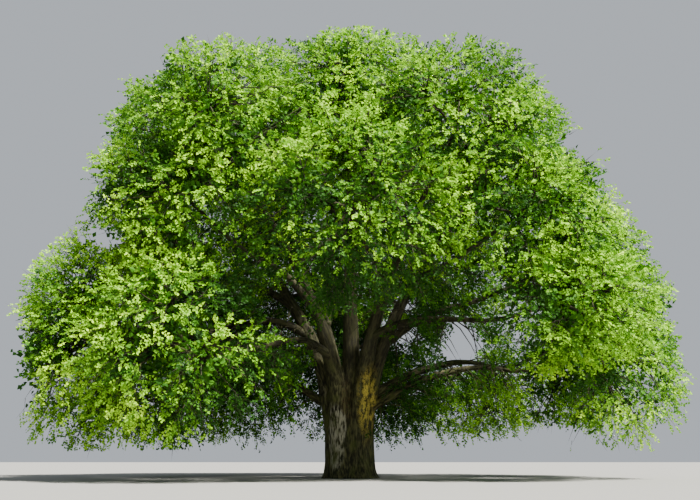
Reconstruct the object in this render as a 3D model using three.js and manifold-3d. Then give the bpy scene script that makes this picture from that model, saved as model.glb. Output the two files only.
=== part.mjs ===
// An old open-grown beech in full spring leaf, about 14.5 m tall and 21 m across.
// Six stems and a leader in their middle stand fused in one fluted trunk. They part above
// head height and climb to the shoulders and the top of the crown. Boughs fork from them,
// arch outwards and end where each enters its own mass of foliage.
// Millimetres, +Z up. The origin is the middle of the flat cut at ground level, +X is the
// tree's right-hand side and -Y is its front.

import * as THREE from "three";
import { mergeVertices } from "three/addons/utils/BufferGeometryUtils.js";
import Module from "manifold-3d";

const wasm = await Module();
wasm.setup();

// Clearances
const FACE_GAP = 0.3; // between two pieces that meet end to end
const LIMB_CLEARANCE = 70; // between foliage and any limb's bark
const SPACE_MARGIN = 0.02; // between two masses, as a share of their half-sizes
const COLLAR_SLACK = 30; // between the end of a fork's collar and the bark it leaves

// The stems, fused below in the trunk. Each is a Bezier curve from its foot by the waist
// and the spread to its mass of foliage.
const STEM_FOOT = { out: 400, up: -400 }; // below ground, where the flat cut is made
const STEM_WAIST = { out: 230, up: 3300 };
const STEM_SPREAD = { out: 1750, up: 5800 };
const STEM_LEANS = [0.82, 1.05, 0.95, 1.12, 0.9, 0.8]; // each stem's share of the spread
const STEM_FOOT_RADIUS = 425;
const STEM_TIP_RADIUS = 100;
const STEM_TAPER = 1.35; // power of the taper from foot to tip
const STEM_PARTS_AT = 0.37; // share of a stem that belongs to the trunk
const FLARE = 0.24; // how much wider a stem is at the ground
const FLARE_HEIGHT = 330;
const STEM_SIDES = 8;
const TRUNK_STEPS = 8;
const STEM_STEPS = 6;
const LEADER_FOOT_RADIUS = 470;
const LEADER_BEND = { out: 250, up: 6500 }; // where the leader starts to lean to its mass

// Four tiers of foliage. Their masses stand evenly between two azimuths, in degrees. out
// and up place a mass's heart, and half gives its half-sizes outwards, sideways and upwards.
// The skirt leaves the front of the trunk open.
const TIERS = {
  shoulder: { count: 6, from: 0, to: 300, out: 6050, up: 10550, half: [3050, 3500, 2600] },
  top: { count: 3, from: 270, to: 510, out: 2300, up: 12450, half: [2800, 3000, 2050] },
  middle: { count: 8, from: 0, to: 315, out: 6900, up: 7800, half: [2900, 3400, 2800] },
  skirt: { count: 9, from: -50, to: 230, out: 8000, up: 3950, half: [2950, 3300, 2950] },
};
// How single masses stand off their tier's ring, which gives the crown its own outline: out
// and up move the heart, turn is in degrees, and tall scales the height.
const MOVES = {
  shoulder_1: { out: -900, up: 300, turn: -8, tall: 1.15 },
  shoulder_4: { out: -200, up: 400, turn: 6, tall: 1.1 },
  shoulder_5: { out: 100, turn: -9, tall: 1.05 },
  shoulder_6: { up: 100, turn: 4 },
  top_1: { out: 500, up: -200, turn: -2 },
  top_2: { up: -300 },
  middle_1: { out: 500, up: -600, tall: 0.7 },
  middle_2: { out: -1000, turn: 8, tall: 0.9 },
  middle_3: { up: -300, turn: 2, tall: 1.05 },
  middle_5: { out: -900, up: -100 },
  middle_6: { out: 300, up: 800, tall: 1.25 },
  middle_8: { out: 500, up: -300, turn: -2 },
  skirt_1: { out: -200, up: 1000, turn: 9, tall: 0.5 },
  skirt_2: { out: 300, up: 300, turn: 4 },
  skirt_3: { out: -200, up: 400 },
  skirt_4: { out: 500, up: -500, turn: -5, tall: 0.55 },
  skirt_5: { out: -500, up: 300, turn: -4, tall: 1.15 },
  skirt_6: { out: 800, up: 700 },
  skirt_7: { out: -100, up: 300, tall: 0.9 },
  skirt_8: { out: 500, up: 100, turn: 8, tall: 1.2 },
  skirt_9: { out: -400, turn: 2, tall: 0.85 },
};
const SEED = 17;
const SEED_STEP = 40; // keeps the seeds of different choices apart
const SWAY = { out: 0.06, up: 0.06, half: 0.07 }; // seeded variation, as shares of the above
const PLASTIC = 1.3247179572; // the plastic number, whose powers spread points evenly

// How the boughs of a tier leave their stem and arrive at their mass: forks are the
// heights of the forks in turn, and leave and arrive are slopes, up per unit outwards.
const BOUGHS = {
  top: { forks: [7300], leave: 2.2, arrive: 1.2, radius: 115, tip: 70 },
  middle: {
    forks: [4200, 6000, 5250, 6000, 5600, 5250, 6000, 5250],
    leave: 1.1,
    arrive: 0.35,
    radius: 145,
    tip: 75,
  },
  skirt: {
    forks: [4450, 2150, 2600, 2150, 4450, 3900, 2300, 4700, 3900],
    leave: 0.55,
    arrive: -0.25,
    radius: 150,
    tip: 70,
  },
};
const LEAVE_SHARE = 0.4; // of a bough's run, over which it keeps its first slope
const ARRIVE_SHARE = 0.35;
const ENTRY = 0.93; // a bough ends this far out from its mass's heart, in its half-sizes
const BOUGH_SIDES = 6;
const BOUGH_STEPS = 5;

// Foliage by the growing rule
const BRANCHES = 6; // of the first order in a mass
const SHOOTS = 14; // of the second order, each with one leafy blade
const BRANCH_REACH = 0.5; // how far a branch goes towards the edge of its mass's space
const SHOOT_FROM = 0.4; // the share of its branch from which on a shoot may start
const CORE_SHARE = 0.78; // of the space, filled by the dense inner foliage
const BLADE_LENGTH = 1500;
const BLADE_WIDTH = 950;
const BLADE_THICKNESS = 70;
const BLADE_DROOP = 0.35; // how far a blade leans down of straight out
const BLADE_VEER = 0.45; // how far it leans to one side and the other in turn
const BLADE_ROLL = 2.2; // range of its seeded roll, in radians
const BLADE_ROOT = 0.95; // share of a blade, back from its tip, where its shoot ends
const STUB_LENGTH = 300; // straight stretch of a mass's stem behind the bough's tip
const BRANCH_RADIUS = 50;
const SHOOT_RADIUS = 34;
const SHOOT_TIP_RADIUS = 27;
const INWARD_LIMIT = -0.35; // shoots that point further back to the axis are left out
const MOST_TRIES = 80; // directions tried in a mass, as a blade that leaves it is skipped
const MARCH = 60; // step used to find the edge of a space
const SEARCH = 0.01; // share of a bough, used to find where it is clear of the stems
const BEADS = 80; // points along a limb's middle that stand for its bark
const BARK_NEAR = 1.2; // only bark this near a mass is tested, in its half-sizes

const BARK = { color: 0x5d5344, roughness: 0.9 };
const FOLIAGE = { color: 0x5f9a26, roughness: 0.6 };

const UP = new THREE.Vector3(0, 0, 1);

// A fixed number from 0 to 1 for each seed: the far digits of a sine.
function chance(seed) {
  const s = Math.sin(seed * 12.9898) * 43758.5453;
  return s - Math.floor(s);
}

function outward(degrees) {
  const a = THREE.MathUtils.degToRad(degrees);
  return new THREE.Vector3(Math.cos(a), Math.sin(a), 0);
}

function at(degrees, out, up) {
  return outward(degrees).multiplyScalar(out).addScaledVector(UP, up);
}

// Directions that fill the sphere evenly, however many of them are taken.
function direction(k) {
  const z = 1 - 2 * ((0.5 + k / PLASTIC) % 1);
  const turn = 2 * Math.PI * ((0.5 + k / PLASTIC ** 2) % 1);
  const r = Math.sqrt(1 - z * z);
  return new THREE.Vector3(r * Math.cos(turn), r * Math.sin(turn), z);
}

// The masses, as ellipsoids that overlap. How they share the room is told at inSpace.
function placeMasses() {
  const masses = [];
  for (const [tier, t] of Object.entries(TIERS)) {
    for (let k = 0; k < t.count; k++) {
      const seed = SEED + masses.length + 1;
      const sway = (j, by) => 1 + by * (2 * chance(seed + SEED_STEP * j) - 1);
      const move = { out: 0, up: 0, turn: 0, tall: 1, ...MOVES[`${tier}_${k + 1}`] };
      const azimuth = t.from + ((t.to - t.from) * k) / (t.count - 1) + move.turn;
      const out = t.out * sway(1, SWAY.out) + move.out;
      const up = t.up * sway(2, SWAY.up) + move.up;
      masses.push({
        tier,
        seed,
        azimuth,
        number: k + 1,
        name: `${tier}_foliage_${k + 1}`,
        heart: at(azimuth, out, up),
        axes: [outward(azimuth), outward(azimuth + 90), UP],
        half: t.half.map((h, i) => h * sway(3, SWAY.half) * (i === 2 ? move.tall : 1)),
      });
    }
  }
  return masses;
}

// 0 at the heart of a mass, 1 on its ellipsoid.
function depthIn(mass, point) {
  const d = point.clone().sub(mass.heart);
  return Math.hypot(...mass.axes.map((axis, i) => d.dot(axis) / mass.half[i]));
}

const masses = placeMasses();

// Limbs are Bezier curves with a radius that tapers from start to end.
function limb(name, points, radius, tip, taper, sides) {
  const curve = new THREE.CubicBezierCurve3(...points);
  const radiusAt = (t) => tip + (radius - tip) * Math.pow(1 - t, taper);
  return { name, curve, radiusAt, sides, collars: [] };
}

// Where the bough that comes from a fork ends, on the near side of its mass.
function entry(mass, fork) {
  const back = fork.clone().sub(mass.heart).normalize();
  const distance = ENTRY / depthIn(mass, mass.heart.clone().add(back));
  return mass.heart.clone().addScaledVector(back, distance);
}

// A stem stands in the trunk up to where it parts from the others, and flares at the ground.
function stem(name, points, radius, mass) {
  const made = limb(name, points, radius, STEM_TIP_RADIUS, STEM_TAPER, STEM_SIDES);
  const taper = made.radiusAt;
  made.radiusAt = (t) => {
    const height = Math.max(made.curve.getPoint(t).z, 0);
    return taper(t) * (1 + FLARE * Math.exp(-height / FLARE_HEIGHT));
  };
  return Object.assign(made, { mass, from: STEM_PARTS_AT });
}

function growStems() {
  return masses.filter((m) => m.tier === "shoulder").map((mass, k) => {
    const foot = at(mass.azimuth, STEM_FOOT.out, STEM_FOOT.up);
    const waist = at(mass.azimuth, STEM_WAIST.out, STEM_WAIST.up);
    const spread = at(mass.azimuth, STEM_SPREAD.out * STEM_LEANS[k], STEM_SPREAD.up);
    const points = [foot, waist, spread, entry(mass, spread)];
    return stem(`stem_${k + 1}`, points, STEM_FOOT_RADIUS, mass);
  });
}

function growLeader() {
  const mass = masses.find((m) => m.tier === "top");
  const bend = at(mass.azimuth, LEADER_BEND.out, LEADER_BEND.up);
  const points = [at(0, 0, STEM_FOOT.up), at(0, 0, STEM_WAIST.up), bend, entry(mass, bend)];
  return stem("leader", points, LEADER_FOOT_RADIUS, mass);
}

// The parameter at which a rising limb passes a height.
function heightOn(curve, up) {
  let low = 0;
  let high = 1;
  while (high - low > 1e-4) {
    const middle = (low + high) / 2;
    if (curve.getPoint(middle).z < up) low = middle;
    else high = middle;
  }
  return low;
}

// Angle between two azimuths, from 0 to 180 degrees.
function apart(a, b) {
  const d = (((a - b) % 360) + 360) % 360;
  return Math.min(d, 360 - d);
}

// The boughs of the top fork from the leader, and any other from the stem nearest in azimuth.
function parentOf(mass, stems, leader) {
  if (mass.tier === "top") return leader;
  const away = (item) => apart(item.mass.azimuth, mass.azimuth);
  return stems.reduce((best, item) => (away(item) < away(best) ? item : best));
}

function growBough(mass, stems, leader) {
  const rule = BOUGHS[mass.tier];
  const parent = parentOf(mass, stems, leader);
  const forkAt = heightOn(parent.curve, rule.forks[(mass.number - 1) % rule.forks.length]);
  const fork = parent.curve.getPoint(forkAt);
  const end = entry(mass, fork);
  const run = fork.distanceTo(end);
  const out = end.clone().sub(fork).setZ(0).normalize();
  const leave = out.clone().addScaledVector(UP, rule.leave).setLength(run * LEAVE_SHARE);
  const arrive = out.clone().addScaledVector(UP, rule.arrive).setLength(run * ARRIVE_SHARE);
  const points = [fork, fork.clone().add(leave), end.clone().sub(arrive), end];
  const name = `${mass.tier}_bough_${mass.number}`;
  const bough = limb(name, points, rule.radius, rule.tip, 1, BOUGH_SIDES);
  const from = clearOf([...stems, leader], bough);
  const onTrunk = forkAt <= STEM_PARTS_AT;
  if (!onTrunk) parent.collars.push(bough);
  return Object.assign(bough, { mass, from, onTrunk });
}

// Points down the middle of limbs, with the bark's radius there.
function beadsOf(limbs) {
  const beads = [];
  for (const item of limbs) {
    for (let t = 0; t <= 1; t += 1 / BEADS) {
      beads.push({ point: item.curve.getPoint(t), radius: item.radiusAt(t) });
    }
  }
  return beads;
}

// The parameter at which a bough has left the bark of the stems behind.
function clearOf(stems, bough) {
  const beads = beadsOf(stems);
  const free = (t) => {
    const p = bough.curve.getPoint(t);
    const space = bough.radiusAt(t) + COLLAR_SLACK;
    return beads.every((b) => b.point.distanceTo(p) > b.radius + space);
  };
  let t = SEARCH;
  while (!free(t)) t += SEARCH;
  return t;
}

// A closed tube along a stretch of a limb, from a cylinder whose rings are carried to the
// curve. lift moves the first ring along the limb, to keep a gap before it.
function tube(item, from, to, steps, lift = 0) {
  const g = new THREE.CylinderGeometry(1, 1, 1, item.sides, steps);
  const position = g.attributes.position;
  for (let i = 0; i < position.count; i++) {
    const share = position.getY(i) + 0.5;
    const t = from + (to - from) * share;
    const tangent = item.curve.getTangent(t);
    const side = new THREE.Vector3().crossVectors(tangent, sideways(item)).normalize();
    const other = new THREE.Vector3().crossVectors(side, tangent);
    const r = item.radiusAt(t);
    const p = item.curve.getPoint(t)
      .addScaledVector(side, position.getX(i) * r)
      .addScaledVector(other, position.getZ(i) * r);
    if (share < 1e-6) p.addScaledVector(tangent, lift);
    position.setXYZ(i, p.x, p.y, p.z);
  }
  return solid(g);
}

// A level direction across the plane in which a limb bends.
function sideways(item) {
  const { v0, v3 } = item.curve;
  return new THREE.Vector3().crossVectors(UP, v3.clone().sub(v0)).normalize();
}

function withSharedVertices(geometry) {
  geometry.deleteAttribute("normal");
  geometry.deleteAttribute("uv");
  return mergeVertices(geometry);
}

function solid(geometry) {
  const merged = withSharedVertices(geometry);
  return new wasm.Manifold(new wasm.Mesh({
    numProp: 3,
    vertProperties: merged.attributes.position.array,
    triVerts: new Uint32Array(merged.index.array),
  }));
}

// One solid of them all, without a scrap that would lie loose.
function joined(solids) {
  const whole = solids.reduce((a, b) => a.add(b));
  return whole.decompose().reduce((a, b) => (a.volume() > b.volume() ? a : b));
}

function mesh(name, whole, finish) {
  const made = whole.getMesh();
  const geometry = new THREE.BufferGeometry();
  geometry.setAttribute("position", new THREE.BufferAttribute(made.vertProperties, 3));
  geometry.setIndex(new THREE.BufferAttribute(made.triVerts, 1));
  geometry.computeVertexNormals();
  const item = new THREE.Mesh(geometry, new THREE.MeshStandardMaterial(finish));
  item.name = name;
  return item;
}

// The trunk: the lower stretch of every stem and the collars of the boughs that leave it,
// cut flat at the ground.
function trunkSolid(stems, boughs) {
  const pieces = stems.map((item) => tube(item, 0, item.from, TRUNK_STEPS));
  const collars = boughs.filter((b) => b.onTrunk).map((b) => tube(b, 0, b.from, 1));
  return joined([...pieces, ...collars]).trimByPlane([0, 0, 1], 0);
}

// A limb above the cut where it starts, with the collars of the boughs that leave it.
function limbSolid(item, steps) {
  const collars = item.collars.map((b) => tube(b, 0, b.from, 1));
  return joined([tube(item, item.from, 1, steps, FACE_GAP), ...collars]);
}

// A mass's space: the points that lie deeper in its ellipsoid than in any other mass's,
// and clear of the bark.
function inSpace(mass, point) {
  const own = depthIn(mass, point);
  if (own > 1) return false;
  if (masses.some((m) => m !== mass && depthIn(m, point) < own + SPACE_MARGIN)) return false;
  return mass.bark.every((b) => b.point.distanceTo(point) > b.radius + LIMB_CLEARANCE);
}

// How far a mass's space goes from its heart in one direction.
function reach(mass, way) {
  let far = 0;
  const point = mass.heart.clone();
  while (inSpace(mass, point.addScaledVector(way, MARCH))) far += MARCH;
  return far;
}

// A straight three-sided twig between two points.
function twig(start, end, radius, tip) {
  const g = new THREE.CylinderGeometry(tip, radius, start.distanceTo(end), 3, 1);
  const turn = new THREE.Quaternion().setFromUnitVectors(
    new THREE.Vector3(0, 1, 0), end.clone().sub(start).normalize());
  g.applyQuaternion(turn);
  const middle = start.clone().add(end).multiplyScalar(0.5);
  return solid(g.translate(middle.x, middle.y, middle.z));
}

// A leafy blade of eight faces that ends at tip, and stands for a spray.
function blade(tip, way, roll) {
  const g = new THREE.OctahedronGeometry(1);
  g.scale(BLADE_LENGTH / 2, BLADE_WIDTH / 2, BLADE_THICKNESS / 2);
  const across = new THREE.Vector3().crossVectors(UP, way).normalize();
  across.applyAxisAngle(way, roll);
  const top = new THREE.Vector3().crossVectors(way, across);
  g.applyMatrix4(new THREE.Matrix4().makeBasis(way, across, top));
  const middle = tip.clone().addScaledVector(way, -BLADE_LENGTH / 2);
  return g.translate(middle.x, middle.y, middle.z);
}

function cornersOf(geometry) {
  const position = geometry.attributes.position;
  return Array.from({ length: position.count }, (_, i) =>
    new THREE.Vector3().fromBufferAttribute(position, i));
}

// The dense inner foliage: a low lump whose corners lie at one share of the mass's reach.
function core(mass) {
  const g = withSharedVertices(new THREE.IcosahedronGeometry(1, 1));
  const position = g.attributes.position;
  for (let i = 0; i < position.count; i++) {
    const way = new THREE.Vector3().fromBufferAttribute(position, i).normalize();
    const p = mass.heart.clone().addScaledVector(way, CORE_SHARE * reach(mass, way));
    position.setXYZ(i, p.x, p.y, p.z);
  }
  return solid(g);
}

// The stem of a mass: straight on from its bough's tip, then to the mass's heart.
function massStem(item) {
  const radius = item.radiusAt(1);
  const tangent = item.curve.getTangent(1);
  const foot = item.curve.getPoint(1).addScaledVector(tangent, FACE_GAP);
  const stub = foot.clone().addScaledVector(tangent, STUB_LENGTH);
  const inStub = foot.clone().lerp(stub, 0.5);
  return [twig(foot, stub, radius, radius), twig(inStub, item.mass.heart, radius, BRANCH_RADIUS)];
}

// Directions in which a mass grows, in the order in which its twigs take them.
function ways(mass) {
  const all = Array.from({ length: MOST_TRIES }, (_, k) => direction(k + mass.seed));
  return all.filter((way) => mass.tier === "top" || way.dot(mass.axes[0]) > INWARD_LIMIT);
}

function growBranch(mass, way) {
  const tip = mass.heart.clone().addScaledVector(way, BRANCH_REACH * reach(mass, way));
  return { way, tip, solid: twig(mass.heart, tip, BRANCH_RADIUS, SHOOT_RADIUS) };
}

// A shoot from the nearest branch with the blade at its end, or nothing where the blade
// would leave the mass's space or touch a limb.
function growShoot(mass, way, k, branches) {
  const nearest = branches.reduce((a, b) => (a.way.dot(way) > b.way.dot(way) ? a : b));
  const luck = chance(mass.seed + SEED_STEP * k);
  const start = mass.heart.clone().lerp(nearest.tip, SHOOT_FROM + (1 - SHOOT_FROM) * luck);
  const tip = mass.heart.clone().addScaledVector(way, reach(mass, way));
  const aside = new THREE.Vector3().crossVectors(UP, way).multiplyScalar(k % 2 ? 1 : -1);
  const along = way.clone().addScaledVector(aside, BLADE_VEER).addScaledVector(UP, -BLADE_DROOP);
  along.normalize();
  const leaf = blade(tip, along, BLADE_ROLL * (chance(mass.seed * SEED_STEP + k) - 0.5));
  if (!cornersOf(leaf).every((corner) => inSpace(mass, corner))) return [];
  const root = tip.clone().addScaledVector(along, -BLADE_ROOT * BLADE_LENGTH);
  return [twig(start, root, SHOOT_RADIUS, SHOOT_TIP_RADIUS), solid(leaf)];
}

function foliageSolid(item) {
  const { mass } = item;
  const all = ways(mass);
  const branches = all.slice(0, BRANCHES).map((way) => growBranch(mass, way));
  const shoots = [];
  for (let k = BRANCHES; k < all.length && shoots.length < SHOOTS; k++) {
    const shoot = growShoot(mass, all[k], k, branches);
    if (shoot.length) shoots.push(shoot);
  }
  return joined([core(mass), ...massStem(item), ...branches.map((b) => b.solid), ...shoots.flat()]);
}

const stems = growStems();
const leader = growLeader();
const bare = masses.filter((m) => m.tier !== "shoulder" && m !== leader.mass);
const boughs = bare.map((mass) => growBough(mass, stems, leader));
const limbs = [...stems, leader, ...boughs];
const beads = beadsOf(limbs);
for (const mass of masses) {
  mass.bark = beads.filter((b) => depthIn(mass, b.point) < BARK_NEAR);
}

const tree = new THREE.Group();
tree.add(mesh("trunk", trunkSolid([...stems, leader], boughs), BARK));
for (const item of limbs) {
  const steps = boughs.includes(item) ? BOUGH_STEPS : STEM_STEPS;
  tree.add(mesh(item.name, limbSolid(item, steps), BARK));
  tree.add(mesh(item.mass.name, foliageSolid(item), FOLIAGE));
}

export default tree;
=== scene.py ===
"""Looks of an old open-grown beech in spring leaf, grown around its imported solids.

The limbs and the masses of foliage are worked out by the same rule and the same sizes as the
solids. Bark with relief follows the limbs. In each mass the rule goes on to finer twigs, to
sprays and to single leaves, within the same reach. Metres, +Z up, -Y is the front.
"""

import itertools

import bpy
import numpy as np
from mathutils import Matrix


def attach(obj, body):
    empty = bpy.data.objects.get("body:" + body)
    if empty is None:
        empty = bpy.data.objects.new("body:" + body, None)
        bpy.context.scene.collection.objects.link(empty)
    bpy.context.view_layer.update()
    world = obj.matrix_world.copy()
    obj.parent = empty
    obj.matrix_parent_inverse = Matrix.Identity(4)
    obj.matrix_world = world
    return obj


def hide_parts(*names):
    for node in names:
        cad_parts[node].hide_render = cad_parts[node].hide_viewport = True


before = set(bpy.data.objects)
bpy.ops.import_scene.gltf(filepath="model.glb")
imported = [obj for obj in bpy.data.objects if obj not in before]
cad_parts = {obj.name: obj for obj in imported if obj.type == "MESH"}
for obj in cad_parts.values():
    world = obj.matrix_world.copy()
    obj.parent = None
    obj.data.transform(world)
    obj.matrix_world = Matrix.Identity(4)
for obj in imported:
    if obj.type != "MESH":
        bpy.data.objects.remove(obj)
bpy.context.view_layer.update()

UP = np.array([0.0, 0.0, 1.0])
# What keeps a cross product with UP off nought, for a limb and for a shoot that are upright
UPRIGHT_AID = 1e-3
LEVEL_AID = 1e-4

# Clearances, and the seams between the masses
LIMB_CLEARANCE = 0.07  # between foliage and any limb's bark
LEAF_CLEARANCE = 0.05  # the same for the middle of a leaf in a mass
SIDE_LEAF_CLEARANCE = 0.04  # and for the middle of a leaf beside a limb
SPACE_MARGIN = 0.02  # between two masses, as a share of their half-sizes
LEAF_MARGIN = -0.06  # the same for leaves, which may reach a little into a neighbour
LEAF_LIMIT = 1.05  # how far out leaves may stand, where 1 is the crown's outline
NEAR_MASS = 1.2  # depth in a mass up to which limbs are looked for
# The higher, the deeper the crevices between the masses, on top of the crown and at its sides
TOP_FILLET = 3.5
SIDE_FILLET = 9.0
# Where the top's fillet begins, by distance from the axis and by height, each with its run
TOP_EDGE = (8.5, -3)
TOP_FOOT = (6, 2)

# The stems, fused below in the trunk. Each is a Bezier curve from its foot by the waist
# and the spread to its mass of foliage.
STEM_FOOT = {"out": 0.4, "up": -0.4}
STEM_WAIST = {"out": 0.23, "up": 3.3}
STEM_SPREAD = {"out": 1.75, "up": 5.8}
STEM_LEANS = (0.82, 1.05, 0.95, 1.12, 0.9, 0.8)
STEM_FOOT_RADIUS = 0.425
STEM_TIP_RADIUS = 0.1
STEM_TAPER = 1.35
FLARE = 0.24
FLARE_HEIGHT = 0.33
LEADER_FOOT_RADIUS = 0.47
LEADER_BEND = {"out": 0.25, "up": 6.5}

# Four tiers of foliage. Their masses stand evenly between two azimuths, in degrees.
TIERS = {
    "shoulder": {"count": 6, "turns": (0, 300), "out": 6.05, "up": 10.55, "half": (3.05, 3.5, 2.6)},
    "top": {"count": 3, "turns": (270, 510), "out": 2.3, "up": 12.45, "half": (2.8, 3.0, 2.05)},
    "middle": {"count": 8, "turns": (0, 315), "out": 6.9, "up": 7.8, "half": (2.9, 3.4, 2.8)},
    "skirt": {"count": 9, "turns": (-50, 230), "out": 8.0, "up": 3.95, "half": (2.95, 3.3, 2.95)},
}
# How single masses stand off their tier's ring: out and up move the heart, turn is in
# degrees, and tall scales the height.
MOVES = {
    "shoulder_1": {"out": -0.9, "up": 0.3, "turn": -8, "tall": 1.15},
    "shoulder_4": {"out": -0.2, "up": 0.4, "turn": 6, "tall": 1.1},
    "shoulder_5": {"out": 0.1, "turn": -9, "tall": 1.05},
    "shoulder_6": {"up": 0.1, "turn": 4},
    "top_1": {"out": 0.5, "up": -0.2, "turn": -2},
    "top_2": {"up": -0.3},
    "middle_1": {"out": 0.5, "up": -0.6, "tall": 0.7},
    "middle_2": {"out": -1.0, "turn": 8, "tall": 0.9},
    "middle_3": {"up": -0.3, "turn": 2, "tall": 1.05},
    "middle_5": {"out": -0.9, "up": -0.1},
    "middle_6": {"out": 0.3, "up": 0.8, "tall": 1.25},
    "middle_8": {"out": 0.5, "up": -0.3, "turn": -2},
    "skirt_1": {"out": -0.2, "up": 1.0, "turn": 9, "tall": 0.5},
    "skirt_2": {"out": 0.3, "up": 0.3, "turn": 4},
    "skirt_3": {"out": -0.2, "up": 0.4},
    "skirt_4": {"out": 0.5, "up": -0.5, "turn": -5, "tall": 0.55},
    "skirt_5": {"out": -0.5, "up": 0.3, "turn": -4, "tall": 1.15},
    "skirt_6": {"out": 0.8, "up": 0.7},
    "skirt_7": {"out": -0.1, "up": 0.3, "tall": 0.9},
    "skirt_8": {"out": 0.5, "up": 0.1, "turn": 8, "tall": 1.2},
    "skirt_9": {"out": -0.4, "turn": 2, "tall": 0.85},
}
SEED = 17
SEED_STEP = 40
SWAY = {"out": 0.06, "up": 0.06, "half": 0.07}
PLASTIC = 1.3247179572

# Where each tier's boughs fork from their limb, how steeply they leave it and arrive at their
# mass, as a rise to one across, and how thick they are at both ends
BOUGHS = {
    "top": {"forks": (7.3,), "leave": 2.2, "arrive": 1.2, "radius": 0.115, "tip": 0.07},
    "middle": {
        "forks": (4.2, 6.0, 5.25, 6.0, 5.6, 5.25, 6.0, 5.25),
        "leave": 1.1, "arrive": 0.35, "radius": 0.145, "tip": 0.075,
    },
    "skirt": {
        "forks": (4.45, 2.15, 2.6, 2.15, 4.45, 3.9, 2.3, 4.7, 3.9),
        "leave": 0.55, "arrive": -0.25, "radius": 0.15, "tip": 0.07,
    },
}
# How far a bough keeps to its first and its last direction, as shares of its run
LEAVE_SHARE = 0.4
ARRIVE_SHARE = 0.35
ENTRY = 0.93  # depth in its mass at which a limb ends
BEADS = 80  # places along each limb at which its bark is kept clear

# The trunk. Its bark lies where the pulls of the stems' round sections add up to one.
TRUNK_TOP = 3.75
TRUNK_TURNS = 200
TRUNK_HEIGHTS = 84
TRUNK_MOST = 1.6  # no part of the trunk is further from the axis
HALVINGS = 22  # steps of the search for the bark's distance from the axis
PULL = 20
PULL_GAIN = 25  # how much steeper the pull is where the stems part
PARTING = (1.8, 1.6)  # height where they start to part, and the run
STEMS_FROM = 2.4  # height in the trunk where each stem's own bark starts
RIM_SINK = 0.12  # how deep the trunk's upper rim lies inside the stems' bark
SINK_START = 0.4  # how far above the start of that bark it begins to sink
TOE_DEPTH = 0.07
TOE_HEIGHT = 0.22

# Relief of the bark, from narrow ridges, fine grain and slow swellings: the cells of each noise
# to the metre, across the limb and along it, and its share
RIDGES = (11, 11, 2.6)
RIDGE_SHARE = 0.35
FINE_GRAIN = (23, 23, 7)
FINE_SHARE = 0.15
SWELLINGS = (1.7, 1.7, 1.1)
SWELLING_SHARE = 0.7
TRUNK_RELIEF = 0.045
FULL_RELIEF_RADIUS = 0.2  # a thinner limb has less relief
GRAIN_SHIFT = 5  # keeps the patterns of two limbs apart
TOES = (3.2, 3.2, 0)
WANDER_CELLS = 2.2  # of the noise that bends a limb, along it
WANDER_SEEDS = (31, 37, 41)
STEM_BARK = {"rings": 70, "sides": 18, "wander": 0.1, "relief": 0.035}
BOUGH_BARK = {"rings": 40, "sides": 12, "wander": 0.14, "relief": 0.03}

# Foliage by the growing rule: branches from the mass's heart, and shoots from the branches
TRIES = 180  # directions tried in a mass, as a rule
DENSE = {"skirt_3": 220, "skirt_8": 260}  # directions tried in a mass that hides more
THIN = {"skirt_4": 0.42}  # share of the sprays that a sparse mass bears
# Masses that bear shoots towards the trunk too, and close the view across the crown
FILLED = (
    "shoulder_2", "shoulder_3", "shoulder_4", "shoulder_5",
    "skirt_4", "skirt_5", "skirt_6", "skirt_7",
)
INWARD_LIMIT = -0.35  # the others bear none that point further towards the trunk
MARCH = 0.06  # step of the walk from a heart to the edge of its mass
MOST_REACH = 4.4  # no mass reaches further than this from its heart
WOOD_PULL = 0.35  # how far wood keeps to its first and last direction, as a share of its run
STEM_OVERLAP = 0.05  # how deep the stem of a mass starts inside its limb
BRANCHES = 6
BRANCH_REACH = 0.5
BRANCH_RADIUS = 0.05
BRANCH_INWARD = 0.4  # how far a branch goes on along the stem at first
BRANCH_LIFT = 0.2
SHOOT_FROM = 0.4  # share of a branch where its first shoot may leave
SHOOT_OWN = 0.5  # how far a shoot leaves its branch in its own direction
SHOOT_LIFT = 0.3
RISING = 0.1  # how steep a shoot is that rises
DROOP = (0.3, -0.15)  # at the ends of the other shoots, and of those that rise
SHOOT_RADIUS = 0.026
SHOOT_TAPER = 0.7
SHOOT_SPREAD = (0.92, 1.03)
LEAST_SHOOT = 0.3
TWIG_RADIUS = 0.009
SPRAY_RADIUS = 0.004
WOOD_RINGS = 9
SHOOT_RINGS = 4
# How much directions are scattered, by normal draws
SCATTER = {
    "side": 0.3, "turn": 0.3, "twig": 0.15, "face": 0.5, "spray": 0.15, "deep": 0.6,
    "leaf": 0.4, "tilt": 0.9,
}

# Clumps, which a smooth noise makes, with valleys between them
CLUMP = (1.4, 1.4, 0.9)  # size of the crown's clumps along x, y and z
CLUMP_SEED = 1634
CLUMP_LEVEL = 0.8
CLUMP_STRENGTH = 1.1
# Painted light and shade: a clump's upper side takes lighter tints, its underside darker ones
CREST = 0.5  # height over which a clump's upper side fades into its shaded one
TIP_BACK = 0.12  # how far a shoot ends before the edge of its space, where its tuft goes on
VALLEY = 0.75  # how far the foliage stands back between the clumps
INNER_VALLEY = 0.15  # the same where masses meet and on the sides that face the trunk
VALLEY_RISE = (2, 2.5)  # height from which the valleys deepen, and the run
LEAST_VALLEY = 0.2
CROWN_HEART = np.array([0.0, 0.0, 5.0])
ALONE = 0.04  # a mass is alone where its own outline lies this near to the crown's
FACING = 0.3  # how straight a shoot points away from the crown's heart to face outwards
OUTER_DEPTH = 0.9  # depth in a mass from which on a shoot's end is outside
SEAM = 1.8  # how near to the crown's outside the seams between the masses are full
INNER_SHARE = 0.45  # of the sprays that are kept where a shoot ends inside the crown

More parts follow.
